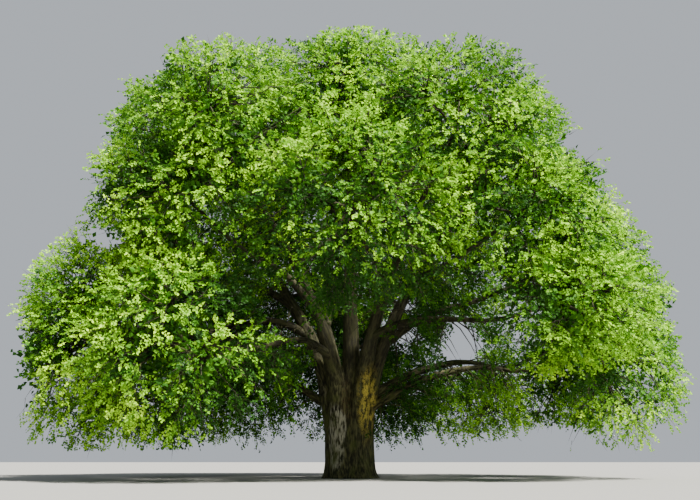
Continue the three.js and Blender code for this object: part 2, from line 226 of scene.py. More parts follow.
# A shoot's tuft of twigs, the sprays on each twig and the leaves on each spray
TWIGS = 6  # the last one straight on
TWIG_FROM = 0.66  # share of the shoot where its first twig leaves
TWIG_LENGTH = 0.46
TWIG_ANGLE = 1.0  # radians between a shoot and its twigs
TWIG_TURN = 2.4  # radians round the shoot from one twig to the next
TWIG_STEP = 0.02  # of the shoot's share, to find its direction
LAST_TWIG_ANGLE = 0.05
TWIG_FLATNESS = 0.6
TWIG_OUT = 0.3  # how far twigs follow their shoot's way out of the mass
TWIG_SAG = 0.1
SPRAYS = 3  # along each twig, the last one at its end
SPRAY_FROM = 0.3
SPRAY_LENGTH = 0.29
SPRAY_ANGLE = 0.8
SPRAY_SAG = 0.08
SPRAY_UP = 0.6  # how far the sprays' upper sides face up, and out of the mass
SPRAY_OUT = 0.7
LENGTH_SPREAD = (0.75, 1.2)  # of twigs and sprays
LEAVES = 7  # along each spray, the last one at its end
LEAF_FROM = 0.12
LEAF_LENGTH = 0.09
LEAF_WIDTH = 0.78  # of its length
LEAF_SPREAD = (0.8, 1.15)
# Leaves are longest past the middle of a spray: their share of the length at its foot, what
# a sine adds to it, and that sine's half waves
LEAF_GROWTH = (0.75, 0.35, 0.8)
LEAF_ANGLE = 0.95
LEAF_HANG = (-0.15, 0.35)
FEWEST_LEAVES = 3  # a spray with fewer leaves that have room is left out
# Corners of a leaf, which is folded along its rib: share of its length, share of its half
# width, and rise
LEAF_CORNERS = (
    (0.0, 0.0, 0.0),
    (0.42, 1.0, 0.12),
    (1.0, 0.0, 0.0),
    (0.42, -1.0, 0.12),
)
LEAF_FACES = np.array([(0, 2, 1), (0, 3, 2)])

# Coarse sprays deep in the shade
DEEP_SHARES = (0.2, 0.45, 0.75)  # their places along a shoot
DEEP_LENGTH = 0.8
DEEP_LEAF = 0.18
# Painted shade: coarse deep leaves take tints this much darker than their depth gives
DEEP_SHADE = 0.3  # how much deeper than they are these look

# Side shoots that the limbs bear on the way to their masses
SIDE_SHOOTS = {"shoulder": 20, "top": 18, "middle": 14, "skirt": 30}
# The share of the limb where the first one leaves, and where the last one does
SIDE_FROM = {"shoulder": 0.62, "top": 0.6, "middle": 0.22, "skirt": 0.1}
SIDE_TO = 0.97
SIDE_STEP = 0.01  # of the limb's share, to find its direction
SIDE_LENGTH = {"shoulder": 2.4, "top": 2.4, "middle": 1.9, "skirt": 1.9}
SIDE_SPREAD = (0.5, 1.2)
SIDE_AHEAD = 0.5
SIDE_OUT = 0.8
SIDE_DROOP = 0.7
SIDE_CURL = 0.5
SIDE_TWIG_FROM = 0.35

# The crown's lower edge and its top
LOWEST_LEAF = 0.85  # height under which nothing hangs
HEM = 0.85  # how much higher the ragged lower edge is between its lowest points
HEM_CELLS = (0.9, 0.9, 0)
HEM_LEVEL = 0.4
HEM_STRENGTH = 1.2
HANG = 0.3  # how much further the skirt's lower edge reaches, as a share of its depth
HANG_FROM = 0.4  # how far below its heart, as a share of its half-height, a mass hangs so
HANG_LENGTH = 0.5  # how much longer the skirt's shoots are there
HANG_STEEPNESS = 0.2  # for shoots that point down more steeply than this
HIGHEST_LEAF = 14.45

# Gaps through the crown, and notches in its outline, as the front shows them: x and z in the
# upright plane through the trunk's axis, half-width and half-height
GAPS = (
    (3.75, 4.4, 0.75, 1.1),
    (1.13, 5.01, 0.17, 0.42),
    (1.70, 4.40, 0.34, 0.3),
    (6.35, 11.9, 0.4, 0.2),
    (6.60, 9.6, 0.15, 0.12),
    (4.75, 12.9, 0.17, 0.1),
    (-9.13, 4.36, 0.5, 0.3),
    (-7.19, 5.01, 0.5, 0.33),
    (-6.66, 2.61, 0.27, 0.2),
    (-8.5, 8.15, 0.75, 0.45),
    (8.0, 11.8, 0.6, 0.5),
    (-8.7, 13.5, 0.7, 0.8),
    (-7.5, 14.5, 0.8, 0.5),
    (-8.95, 12.0, 0.5, 0.7),
    (11.4, 5.3, 0.55, 1.7),
    (6.9, 1.45, 1.3, 0.45),
    (1.9, 5.9, 0.5, 0.33),
    (1.95, 4.85, 0.42, 0.33),
    (3.3, 2.1, 0.4, 0.15),
    (2.2, 2.85, 0.3, 0.12),
    (-1.9, 16.15, 0.9, 0.55),
    (-0.2, 16.6, 1.3, 0.6),
    (1.3, 16.5, 0.9, 0.6),
    (7.5, 13.7, 0.5, 0.6),
    (-11.4, 4.3, 0.5, 1.1),
    (-11.0, 3.0, 0.55, 0.75),
    (10.9, 5.6, 0.35, 0.35),
    (8.3, 11.3, 0.5, 0.35),
)
# Where the clumps run together and fill the crown's outline, in the same plane
FULL = (
    (5.4, 15.2, 1.1, 0.9),
    (-9.9, 7.5, 1.4, 1.2),
    (-9.5, 2.3, 1.6, 1.2),
)
# Where nothing hangs in front of the trunk and its stems, in the same plane
BARE = (
    (0.0, 3.6, 1.5, 2.3),
    (-2.2, 5.7, 0.9, 1.1),
)
CAMERA_PLACE = np.array([0.0, -30.0, 0.55])
EDGE_CELLS = 1.6  # cells to the metre of the noise that makes the edges of gaps ragged
EDGE_ROUGHNESS = 0.5

# Leaf colours from dark to light: the dark end stands for painted shade and the light end for
# painted sunlight, over the leaves' own green
LEAF_COLOURS = (
    (0.016, 0.065, 0.004),
    (0.04, 0.135, 0.005),
    (0.1, 0.25, 0.007),
    (0.185, 0.4, 0.012),
    (0.29, 0.56, 0.02),
    (0.42, 0.71, 0.03),
)
LEAF_THROUGH = 0.24  # share of the light that goes through a leaf
THROUGH_TINT = (1.15, 1.35, 0.8)  # that light against the leaf's colour
# Where sprays are high up, outer, under the dome and inside it, low, or on the right: a start
# and the run over which each amount rises to 1. Most of these place painted light and shade.
HIGH = (2, 12)
OUTER = (0.5, 0.5)
UNDER = (8, -3)
INSIDE = (8, -2.5)
INSIDE_STRETCH = (1.2, 0.75)
LOW = (3.2, -0.8)
RIGHT = (2, 1.5)
# How much lighter each of these makes a spray's tint, where 1 is the whole range. Most of them
# paint light and shade on the leaves; patch and spread are the leaves' own tint.
LIGHT_AND_TINT = {
    "least": 0.06, "high": -0.1, "outer": 0.4, "clump": 0.3, "painted_top_light": 0.3, "under": -0.5,
    "low": 0.28, "patch": 0.1, "spread": 0.1,
}
PATCH = 0.9  # size of the patches of one tint

BARK_COLOURS = {
    "crack": (0.010, 0.010, 0.004),
    "plate": (0.105, 0.102, 0.038),
    "worn": (0.36, 0.34, 0.25),
    "green": (0.075, 0.09, 0.016),
    # Painted shade for the limbs high up, and a golden, mossy colour painted as bright as sunlit
    # moss
    "shaded": (0.022, 0.02, 0.011),
    "moss_and_sunfleck": (0.6, 0.47, 0.07),
    "rust": (0.13, 0.06, 0.025),
    "twig": (0.014, 0.011, 0.007),
    "fleck": (0.05, 0.04, 0.024),
}
# Places on the trunk, each a middle and its size along x, y and z
WORN_PLACE = ((-0.5, -0.75, 1.3), (0.55, 0.6, 1.5))
# Golden, mossy patch that is partly painted sunlight
MOSS_AND_SUNFLECK_PLACE = ((0.62, -0.62, 2.45), (0.5, 0.7, 1.6))
RUST_PLACE = ((-0.1, -0.7, 2.5), (0.28, 0.6, 1.0))
# Painted shade: the bark darkens with height into the shaded limbs' colour
SHADED_FROM = (2.6, 4.4)  # heights between which the bark goes over into the shaded limbs'

# Pieces into which the leaves of each tier are joined
PIECES = {"shoulder": 2, "top": 2, "middle": 3, "skirt": 4}

# Camera, light and floor
CAMERA_TILT = 13.46  # degrees above level
CAMERA_LENS = 45.36
FLOOR_HALF = 400.0
SUN_STRENGTH = 21.5
SUN_WIDTH = 5  # degrees
SUN_TURN = (36, 0, 42)
ROOM_STRENGTH = 0.58


def unit(v):
    """The same directions at length one."""
    return v / np.maximum(np.linalg.norm(v, axis=-1, keepdims=True), 1e-9)


def ramp(values, start, run):
    """From 0 at the start to 1 at the end of the run: clip((value - start) / run, 0, 1)."""
    return np.clip((values - start) / run, 0, 1)


def chance(seed):
    """A fixed number from 0 to 1 for each seed: the far digits of a sine."""
    s = np.sin(np.asarray(seed, float) * 12.9898) * 43758.5453
    return s - np.floor(s)


def outward(degrees):
    """The level direction at an azimuth."""
    a = np.radians(degrees)
    return np.array([np.cos(a), np.sin(a), 0.0])


def at(degrees, out, up):
    """The point at an azimuth, a distance from the axis and a height."""
    return outward(degrees) * out + UP * up


def directions(k):
    """Directions that fill the sphere evenly, one for each number in k."""
    z = 1 - 2 * ((0.5 + k / PLASTIC) % 1)
    turn = 2 * np.pi * ((0.5 + k / PLASTIC**2) % 1)
    r = np.sqrt(1 - z * z)
    return np.stack([r * np.cos(turn), r * np.sin(turn), z], axis=-1)


def bezier(points, t):
    """Points on cubic Bezier curves: a (1-t)^3 + 3b (1-t)^2 t + 3c (1-t) t^2 + d t^3.

    (..., 4, 3) control points with n shares, or with (..., n) of their own, give (..., n, 3).
    """
    t = np.asarray(t, float)[..., None]
    s = 1 - t
    a, b, c, d = (points[..., k, None, :] for k in range(4))
    return s**3 * a + 3 * s * s * t * b + 3 * s * t * t * c + t**3 * d


def place_masses():
    """The masses of foliage, as ellipsoids on their own axes."""
    masses = []
    for tier, t in TIERS.items():
        start, end = t["turns"]
        for k in range(t["count"]):
            seed = SEED + len(masses) + 1
            sway = {
                by: 1 + SWAY[by] * (2 * chance(seed + SEED_STEP * j) - 1)
                for j, by in enumerate(("out", "up", "half"), 1)
            }
            move = {"out": 0.0, "up": 0.0, "turn": 0.0, "tall": 1.0}
            move.update(MOVES.get(f"{tier}_{k + 1}", {}))
            azimuth = start + (end - start) * k / (t["count"] - 1) + move["turn"]
            out = t["out"] * sway["out"] + move["out"]
            up = t["up"] * sway["up"] + move["up"]
            masses.append({
                "tier": tier,
                "number": k + 1,
                "name": f"{tier}_foliage_{k + 1}",
                "seed": seed,
                "index": len(masses),
                "azimuth": azimuth,
                "heart": at(azimuth, out, up),
                "axes": np.array([outward(azimuth), outward(azimuth + 90), UP]),
                "half": np.array(t["half"]) * sway["half"] * (1, 1, move["tall"]),
            })
    return masses


masses = place_masses()
HEARTS = np.array([m["heart"] for m in masses])
AXES = np.array([m["axes"] for m in masses])
HALVES = np.array([m["half"] for m in masses])


def depths(points):
    """For n points, an (n, masses) table that is 0 at a mass's heart and 1 on its ellipsoid."""
    local = np.einsum("nmi,mji->nmj", points[:, None, :] - HEARTS, AXES) / HALVES
    return np.linalg.norm(local, axis=2)


def crown_depth(points, table):
    """1 on the outline of all masses together: -log(sum of exp(-k * depth)) / k.

    It is a least depth with soft edges, so the crevices between neighbours are rounded out,
    most of all between the top of the crown and its shoulders.
    """
    from_axis = np.linalg.norm(points[:, :2], axis=1)
    top = ramp(from_axis, *TOP_EDGE) * ramp(points[:, 2], *TOP_FOOT)
    k = SIDE_FILLET + (TOP_FILLET - SIDE_FILLET) * top
    return -np.log(np.exp(-k[:, None] * table).sum(axis=1)) / k


class Limb:
    """A Bezier curve with a radius that tapers from its start to its end."""

    def __init__(self, name, points, radius, tip, taper, mass, flare=0.0):
        self.name = name
        self.points = np.array(points)
        self.radius = radius
        self.tip = tip
        self.taper = taper
        self.mass = mass
        self.flare = flare

    def path(self, t):
        return bezier(self.points, t)

    def radii(self, t):
        height = np.maximum(self.path(t)[:, 2], 0)
        tapered = self.tip + (self.radius - self.tip) * (1 - t) ** self.taper
        return tapered * (1 + self.flare * np.exp(-height / FLARE_HEIGHT))

    def share_at(self, up):
        """The share of a rising limb at which it passes a height."""
        t = np.linspace(0, 1, 2001)
        return np.interp(up, self.path(t)[:, 2], t)


def entry(mass, fork):
    """Where the limb that comes from a fork ends, on the near side of its mass."""
    back = unit(fork - mass["heart"])
    distance = ENTRY / depths((mass["heart"] + back)[None])[0, mass["index"]]
    return mass["heart"] + back * distance


def grow_stem(k, mass):
    """A stem stands in the trunk, leans out above it and climbs to a shoulder mass."""
    azimuth = mass["azimuth"]
    foot = at(azimuth, STEM_FOOT["out"], STEM_FOOT["up"])
    waist = at(azimuth, STEM_WAIST["out"], STEM_WAIST["up"])
    spread = at(azimuth, STEM_SPREAD["out"] * STEM_LEANS[k], STEM_SPREAD["up"])
    points = [foot, waist, spread, entry(mass, spread)]
    return Limb(f"stem_{k + 1}", points, STEM_FOOT_RADIUS, STEM_TIP_RADIUS, STEM_TAPER, mass, FLARE)


def grow_leader():
    """The leader stands on the axis and ends in the first mass of the top."""
    mass = next(m for m in masses if m["tier"] == "top")
    bend = at(mass["azimuth"], LEADER_BEND["out"], LEADER_BEND["up"])
    points = [UP * STEM_FOOT["up"], UP * STEM_WAIST["up"], bend, entry(mass, bend)]
    return Limb("leader", points, LEADER_FOOT_RADIUS, STEM_TIP_RADIUS, STEM_TAPER, mass, FLARE)


def grow_bough(mass, stems, leader):
    """A bough forks from the leader at the top, else from the stem nearest in azimuth."""
    rule = BOUGHS[mass["tier"]]
    away = [abs((s.mass["azimuth"] - mass["azimuth"] + 180) % 360 - 180) for s in stems]
    parent = leader if mass["tier"] == "top" else stems[int(np.argmin(away))]
    up = rule["forks"][(mass["number"] - 1) % len(rule["forks"])]
    fork = parent.path([parent.share_at(up)])[0]
    end = entry(mass, fork)
    run = np.linalg.norm(end - fork)
    out = unit((end - fork) * (1, 1, 0))
    leave = unit(out + UP * rule["leave"]) * run * LEAVE_SHARE
    arrive = unit(out + UP * rule["arrive"]) * run * ARRIVE_SHARE
    points = [fork, fork + leave, end - arrive, end]
    name = f"{mass['tier']}_bough_{mass['number']}"
    return Limb(name, points, rule["radius"], rule["tip"], 1, mass)


stems = [grow_stem(k, m) for k, m in enumerate(m for m in masses if m["tier"] == "shoulder")]
leader = grow_leader()
bare = [m for m in masses if m["tier"] != "shoulder" and m is not leader.mass]
boughs = [grow_bough(m, stems, leader) for m in bare]
limbs = [*stems, leader, *boughs]

bead_shares = np.linspace(0, 1, BEADS + 1)
BEAD_POINTS = np.concatenate([item.path(bead_shares) for item in limbs])
BEAD_RADII = np.concatenate([item.radii(bead_shares) for item in limbs])


def clear_of_bark(points, clearance, near=slice(None)):
    """True for the points that lie further than the clearance from the bark at the near beads."""
    away = np.linalg.norm(points[:, None, :] - BEAD_POINTS[near], axis=2)
    return (away > BEAD_RADII[near] + clearance).all(axis=1)


def in_space(mass, points, limit=1.0, margin=SPACE_MARGIN, clearance=LIMB_CLEARANCE):
    """True for the points in the crown that are deeper in this mass than in any other."""
    table = depths(points)
    whole = crown_depth(points, table)
    own = table[:, mass["index"]].copy()
    table[:, mass["index"]] = np.inf
    free = (whole <= limit) & (table.min(axis=1) >= own + margin) & (points[:, 2] < HIGHEST_LEAF)
    near = depths(BEAD_POINTS)[:, mass["index"]] < NEAR_MASS
    free[free] = clear_of_bark(points[free], clearance, near)
    return free


def reach(mass, ways):
    """How far a mass's space goes from its heart in each direction."""
    steps = np.arange(MARCH, MOST_REACH, MARCH)
    points = mass["heart"] + ways[:, None, :] * steps[:, None]
    free = in_space(mass, points.reshape(-1, 3)).reshape(len(ways), -1)
    return steps[np.argmin(free, axis=1)] - MARCH


def noise(points, seed):
    """Smooth numbers from -1 to 1: fixed ones on a unit lattice, blended with cubic easing."""
    cell = np.floor(points)
    share = points - cell
    ease = share * share * (3 - 2 * share)
    total = np.zeros(points.shape[:-1])
    for corner in itertools.product((0, 1), repeat=3):
        value = chance((cell + corner) @ np.array([1.0, 57.0, 113.0]) + seed)
        total += value * np.prod(np.where(corner, ease, 1 - ease), axis=-1)
    return 2 * total - 1


def bark_relief(points, relief):
    """Height of the bark over a limb, at points whose last axis runs along it.

    Narrow ridges are where a stretched noise is near nought, over slow swellings.
    """
    streaks = noise(points * RIDGES, seed=3)
    fine = noise(points * FINE_GRAIN, seed=5)
    ridges = 1 - np.abs(streaks) * 2
    swellings = noise(points * SWELLINGS, seed=7)
    rough = relief * (RIDGE_SHARE * ridges + FINE_SHARE * fine)
    return rough + SWELLING_SHARE * relief * swellings


def trunk_surface(turns, heights):
    """The trunk as a distance from the axis over azimuth and height.

    Each stem's round section pulls with exp(-k * distance from its edge), and the bark lies
    where the pulls add up to one, so that near lobes run together in soft flutes. The pull
    grows steeper with height, where the lobes part.
    """
    a = np.linspace(0, 2 * np.pi, turns, endpoint=False)
    z = np.linspace(0, TRUNK_TOP, heights)
    steep = PULL + PULL_GAIN * ramp(z, *PARTING) ** 2
    sink_run = TRUNK_TOP - STEMS_FROM - SINK_START
    sink = RIM_SINK * ramp(z - STEMS_FROM, SINK_START, sink_run)
    ways = np.stack([np.cos(a), np.sin(a)], axis=-1)
    centres = []
    radii = []
    for item in [*stems, leader]:
        t = item.share_at(z)
        centres.append(item.path(t)[:, :2])
        radii.append(item.radii(t) - sink)
    low = np.zeros((heights, turns))
    high = np.full((heights, turns), TRUNK_MOST)
    for _ in range(HALVINGS):
        middle = (low + high) / 2
        spots = middle[..., None] * ways
        pull = sum(
            np.exp(-steep[:, None] * (np.linalg.norm(spots - c[:, None, :], axis=2) - r[:, None]))
            for c, r in zip(centres, radii)
        )
        low = np.where(pull > 1, middle, low)
        high = np.where(pull > 1, high, middle)
    points = np.empty((heights, turns, 3))
    points[..., :2] = low[..., None] * ways
    points[..., 2] = z[:, None]
    rough = bark_relief(points, TRUNK_RELIEF)
    toes = TOE_DEPTH * np.exp(-z / TOE_HEIGHT)[:, None]
    toes = toes * (0.5 + noise(points * TOES, seed=11))
    points[..., :2] += (rough + toes)[..., None] * ways
    return points


def ring_faces(blocks, rings, sides):
    """Four-cornered faces between the rings of several tubes, whose rings follow each other."""
    b, r, s = np.meshgrid(np.arange(blocks), np.arange(rings - 1), np.arange(sides), indexing="ij")
    here = (b * rings + r) * sides
    after = (s + 1) % sides
    corners = [here + s, here + after, here + sides + after, here + sides + s]
    return np.stack(corners, axis=-1).reshape(-1, 4)


def tubes(paths, radii, sides, relief=0.0):
    """Round limbs along (m, n, 3) paths: a ring square to the path at each point but the last.

    A point on a ring is centre + radius * (cos a * across + sin a * over). The first ring is
    closed by one face, and the limb ends in a point. The grain is where each vertex lies in
    a straight copy of its limb.
    """
    count, n, _ = paths.shape
    tangent = unit(np.gradient(paths, axis=1))
    plane = unit(np.cross(UP, paths[:, -1] - paths[:, 0]) + (UPRIGHT_AID, 0, 0))
    across = unit(np.cross(plane[:, None, :], tangent))
    over = np.cross(tangent, across)
    a = np.linspace(0, 2 * np.pi, sides, endpoint=False)
    ring = np.cos(a)[:, None] * across[:, :, None, :] + np.sin(a)[:, None] * over[:, :, None, :]
    thick = np.repeat(radii[:, :, None], sides, axis=2)
    step = np.linalg.norm(np.diff(paths, axis=1), axis=2)
    length = np.concatenate([np.zeros((count, 1)), np.cumsum(step, axis=1)], axis=1)
    along = np.repeat(length[:, :, None], sides, axis=2)
    grain = np.stack([thick * np.cos(a), thick * np.sin(a), along], axis=-1)
    grain += GRAIN_SHIFT * paths[:, :1, None, :]
    if relief:
        thick = thick + bark_relief(grain, relief) * np.minimum(1, thick / FULL_RELIEF_RADIUS)
    rings = (paths[:, :, None, :] + ring * thick[..., None])[:, :-1]
    vertices = np.concatenate([rings.reshape(-1, 3), paths[:, -1]])
    last = (np.arange(count)[:, None] * (n - 1) + n - 2) * sides + np.arange(sides)
    tips = np.repeat(count * (n - 1) * sides + np.arange(count)[:, None], sides, axis=1)
    cones = np.stack([last, np.roll(last, -1, axis=1), tips], axis=-1).reshape(-1, 3)
    first = np.arange(count)[:, None] * (n - 1) * sides + np.arange(sides)[::-1]
    grain = np.concatenate([grain[:, :-1].reshape(-1, 3), grain[:, -1, 0]])
    return vertices, [ring_faces(count, n - 1, sides), cones, first], grain


def together(parts):
    """Several (vertices, faces, grain) as one."""
    vertices = []
    faces = []
    grains = []
    start = 0
    for some, groups, grain in parts:
        faces += [group + start for group in groups if len(group)]
        vertices.append(some)
        grains.append(grain)
        start += len(some)
    return np.concatenate(vertices), faces, np.concatenate(grains)


def place(name, data):
    """A new object in the scene."""
    item = bpy.data.objects.new(name, data)
    bpy.context.scene.collection.objects.link(item)
    return item


def make_piece(name, vertices, faces, grain, looks, slot, nodes=(), tints=None):
    """A mesh from arrays, with its place in the mesh, that rides on the tree."""
    mesh = bpy.data.meshes.new(name)
    corners = np.concatenate([group.ravel() for group in faces])
    sizes = np.concatenate([np.full(len(group), group.shape[1]) for group in faces])
    mesh.vertices.add(len(vertices))
    mesh.vertices.foreach_set("co", vertices.astype(np.float32).ravel())
    mesh.loops.add(len(corners))
    mesh.loops.foreach_set("vertex_index", corners.astype(np.int32))
    mesh.polygons.add(len(sizes))
    mesh.polygons.foreach_set("loop_start", (np.cumsum(sizes) - sizes).astype(np.int32))
    mesh.polygons.foreach_set("use_smooth", np.full(len(sizes), tints is None))
    for look in looks:
        mesh.materials.append(look)
    if tints is not None:
        mesh.polygons.foreach_set("material_index", tints.astype(np.int32))
    if grain is not None:
        attribute = mesh.attributes.new("grain", "FLOAT_VECTOR", "POINT")
        attribute.data.foreach_set("vector", grain.astype(np.float32).ravel())
    mesh.update(calc_edges=True)
    item = place(name, mesh)
    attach(item, "root")
    if nodes:
        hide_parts(*nodes)


def trunk_bark():
    """The trunk's surface, closed by a flat cut at the ground and a fan among the stems."""
    turns = TRUNK_TURNS
    heights = TRUNK_HEIGHTS
    points = trunk_surface(turns, heights)
    side = ring_faces(1, heights, turns)
    around = np.arange(turns)
    after = (around + 1) % turns
    top = (heights - 1) * turns
    foot_centre = heights * turns
    foot = np.stack([after, around, np.full(turns, foot_centre)], axis=-1)
    cap = np.stack([top + around, top + after, np.full(turns, foot_centre + 1)], axis=-1)
    centres = np.array([[0, 0, 0], [0, 0, TRUNK_TOP]])
    vertices = np.concatenate([points.reshape(-1, 3), centres])
    return vertices, [side, foot, cap], vertices


def wander(paths, t, amount):
    """Paths with small seeded bends that fade out at both ends."""
    places = paths[:, :1] * (3, 3, 0) + UP + t[:, None] * (WANDER_CELLS, 0, 0)
    offsets = np.stack([noise(places, seed) for seed in WANDER_SEEDS], axis=-1)
    return paths + offsets * (amount * np.sin(np.pi * t))[:, None]


def bark_tubes(some, t, rule):
    """Tubes along limbs at the shares t, with the bends and the relief of their rule."""
    paths = wander(np.array([item.path(t) for item in some]), t, rule["wander"])
    radii = np.array([item.radii(t) for item in some])
    return tubes(paths, radii, rule["sides"], rule["relief"])


def limb_bark():
    """Tubes for the stems above the trunk, the leader and the boughs."""
    parts = []
    for item in [*stems, leader]:
        t = np.linspace(item.share_at(STEMS_FROM), 1, STEM_BARK["rings"])
        parts.append(bark_tubes([item], t, STEM_BARK))
    parts.append(bark_tubes(boughs, np.linspace(0, 1, BOUGH_BARK["rings"]), BOUGH_BARK))
    return together(parts)


# Growth inside the masses

def wood_curve(start, end, leave, arrive):
    """Bezier points from start to end, leaving and arriving in the given directions."""
    length = np.linalg.norm(end - start, axis=-1, keepdims=True)
    after = start + unit(leave) * length * WOOD_PULL
    before = end - unit(arrive) * length * WOOD_PULL
    return np.stack([start, after, before, end], axis=-2)


def key_of(mass):
    """The mass's name in the tables above."""
    return f"{mass['tier']}_{mass['number']}"


def swell(points):
    """1 in the middle of a clump of foliage and 0 between the clumps, from a smooth noise."""
    bumps = noise(points / CLUMP, CLUMP_SEED)
    return np.clip(CLUMP_LEVEL + CLUMP_STRENGTH * bumps, 0, 1)


def in_turn(count):
    """-1 and 1 in turn, for the left and the right side."""
    return np.where(np.arange(count) % 2, 1.0, -1.0)


def fan(count, angle, last=0.0):
    """The same angle for all but the last, which goes almost straight on."""
    return np.where(np.arange(count) == count - 1, last, angle)


def sagging(start, way, length, sag, shares):
    """Points on lines that sag with the square of their run.

    For a start p, direction d and length l, at the share u: p + d * l * u - up * sag * l * u * u.
    """
    run = (length[:, None] * shares)[..., None]
    return start[:, None, :] + way[:, None, :] * run - UP * sag * run * shares[:, None]


def ways_of(mass):
    """Directions from a mass's heart. Those towards the trunk are left out, or come last."""
    ways = directions(np.arange(DENSE.get(key_of(mass), TRIES)) + mass["seed"])
    if mass["tier"] == "top":
        return ways
    back = ways @ mass["axes"][0] <= INWARD_LIMIT
    return np.concatenate([ways[~back], ways[back] if key_of(mass) in FILLED else ways[:0]])


def valleys(ways, ends, alone):
    """How deep the valleys between the clumps are where shoots end.

    They are deepest where a shoot faces outwards and its mass is alone, and shallower near
    the ground. In the full places there are none.
    """
    faces_out = (ways * unit(ends - CROWN_HEART)).sum(axis=1) > FACING
    deep = np.where(faces_out & alone, VALLEY, INNER_VALLEY)
    deep = deep * np.maximum(ramp(ends[:, 2], *VALLEY_RISE), LEAST_VALLEY)
    return np.where(seen_in(FULL, ends), 0, deep)


def shoot_reaches(mass, ways, far, random):
    """How far from its heart the shoots of a mass end, and which of them end outside."""
    ends = mass["heart"] + ways * far[:, None]
    table = depths(ends)
    own = table[:, mass["index"]]
    valley = valleys(ways, ends, own - crown_depth(ends, table) < ALONE)
    steep = np.clip(-HANG_STEEPNESS - ways[:, 2], 0, 1)
    hang = HANG_LENGTH * steep if mass["tier"] == "skirt" else 0
    length = np.maximum(far - TIP_BACK - valley * (1 - swell(ends)) + hang, LEAST_SHOOT)
    further = ends + unit(ends - CROWN_HEART) * SEAM
    outer = (own > OUTER_DEPTH) | (depths(further).min(axis=1) > 1)
    return length * random.uniform(*SHOOT_SPREAD, len(ways)), outer


def grow_mass(limb, random):
    """The wood of one mass by the source's rule: its stem, its branches and their shoots."""
    mass = limb.mass
    heart = mass["heart"]
    end = limb.points[3]
    tangent = unit(end - limb.points[2])
    inward = unit(heart - end)
    stem = wood_curve(end - tangent * STEM_OVERLAP, heart, tangent, inward)[None]
    ways = ways_of(mass)
    far = reach(mass, ways)
    branch_ways = ways[:BRANCHES]
    tips = heart + branch_ways * (BRANCH_REACH * far[:BRANCHES])[:, None]
    hearts = np.repeat(heart[None], BRANCHES, axis=0)
    leave = inward * BRANCH_INWARD + branch_ways
    branches = wood_curve(hearts, tips, leave, branch_ways + UP * BRANCH_LIFT)

    numbers = np.arange(BRANCHES, len(ways))
    ways = ways[BRANCHES:]
    nearest = np.argmax(ways @ branch_ways.T, axis=1)
    shares = SHOOT_FROM + (1 - SHOOT_FROM) * chance(mass["seed"] + SEED_STEP * numbers)
    starts = bezier(branches[nearest], shares[:, None])[:, 0]
    length, outer = shoot_reaches(mass, ways, far[BRANCHES:], random)
    tips = heart + ways * length[:, None]
    leave = branch_ways[nearest] + ways * SHOOT_OWN + UP * SHOOT_LIFT
    droop = np.where(ways[:, 2:] < RISING, *DROOP)
    return stem, branches, wood_curve(starts, tips, leave, ways - UP * droop), ways, outer


def side_shoots_of(limb, random):
    """Shoots that leave a limb to the left and right in turn, on its way to its mass."""
    tier = limb.mass["tier"]
    count = SIDE_SHOOTS[tier]
    shares = np.linspace(SIDE_FROM[tier], SIDE_TO, count)
    start = limb.path(shares)
    tangent = unit(limb.path(shares + SIDE_STEP) - limb.path(shares - SIDE_STEP))
    level = unit(np.cross(tangent, UP))
    sign = in_turn(count)[:, None]
    way = SIDE_AHEAD * tangent + SIDE_OUT * sign * level - UP * SIDE_DROOP
    way = unit(way + random.normal(0, SCATTER["side"], way.shape))
    length = SIDE_LENGTH[tier] * random.uniform(*SIDE_SPREAD, (count, 1))
    return wood_curve(start, start + way * length, way + UP * SIDE_CURL, way - UP * SIDE_CURL), way


def twigs_of(shoots, ways, first, random):
    """Twigs that leave the last stretch of the shoots all round, in a tuft at the tip."""
    shares = np.linspace(first, 1, TWIGS)
    points = bezier(shoots, shares)
    before = bezier(shoots, shares - TWIG_STEP)
    tangent = unit(bezier(shoots, np.minimum(shares + TWIG_STEP, 1)) - before)
    level = unit(np.cross(tangent, UP) + LEVEL_AID)
    over = np.cross(level, tangent)
    count = len(shoots)
    turn = TWIG_TURN * np.arange(TWIGS) + random.uniform(0, 2 * np.pi, (count, 1))
    turn = turn + random.normal(0, SCATTER["turn"], (count, TWIGS))
    aside = np.cos(turn)[..., None] * level + TWIG_FLATNESS * np.sin(turn)[..., None] * over
    angle = fan(TWIGS, TWIG_ANGLE, LAST_TWIG_ANGLE)
    way = np.cos(angle)[:, None] * tangent + np.sin(angle)[:, None] * aside
    scatter = random.normal(0, SCATTER["twig"], way.shape)
    way = unit(way + TWIG_OUT * ways[:, None, :] + scatter)
    length = TWIG_LENGTH * random.uniform(*LENGTH_SPREAD, (count, TWIGS))
    return points.reshape(-1, 3), way.reshape(-1, 3), length.ravel()


def sprays_of(points, way, length, out, random):
    """Sprays that leave each twig to the left and right in turn, with one at its end."""
    shares = np.linspace(SPRAY_FROM, 1, SPRAYS)
    start = sagging(points, way, length, TWIG_SAG, shares)
    tangent = unit(way[:, None, :] - UP * 2 * TWIG_SAG * shares[:, None])
    scatter = random.normal(0, SCATTER["face"], start.shape)
    normal = unit(SPRAY_UP * UP + SPRAY_OUT * out[:, None, :] + scatter)
    side = unit(np.cross(normal, tangent))
    angle = fan(SPRAYS, SPRAY_ANGLE) + random.normal(0, SCATTER["spray"], side.shape[:2])
    spray = np.cos(angle)[..., None] * tangent
    spray = spray + (np.sin(angle) * in_turn(SPRAYS))[..., None] * side
    size = SPRAY_LENGTH * random.uniform(*LENGTH_SPREAD, side.shape[:2])
    return start.reshape(-1, 3), unit(spray).reshape(-1, 3), size.ravel(), normal.reshape(-1, 3)


def deep_sprays_of(shoots, random):
    """Coarse sprays along the inner stretch of the shoots, in any direction."""
    points = bezier(shoots, DEEP_SHARES).reshape(-1, 3)
    way = unit(random.normal(0, 1, points.shape))
    normal = unit(UP + random.normal(0, SCATTER["deep"], points.shape))
    return points, way, np.full(len(points), DEEP_LENGTH), normal


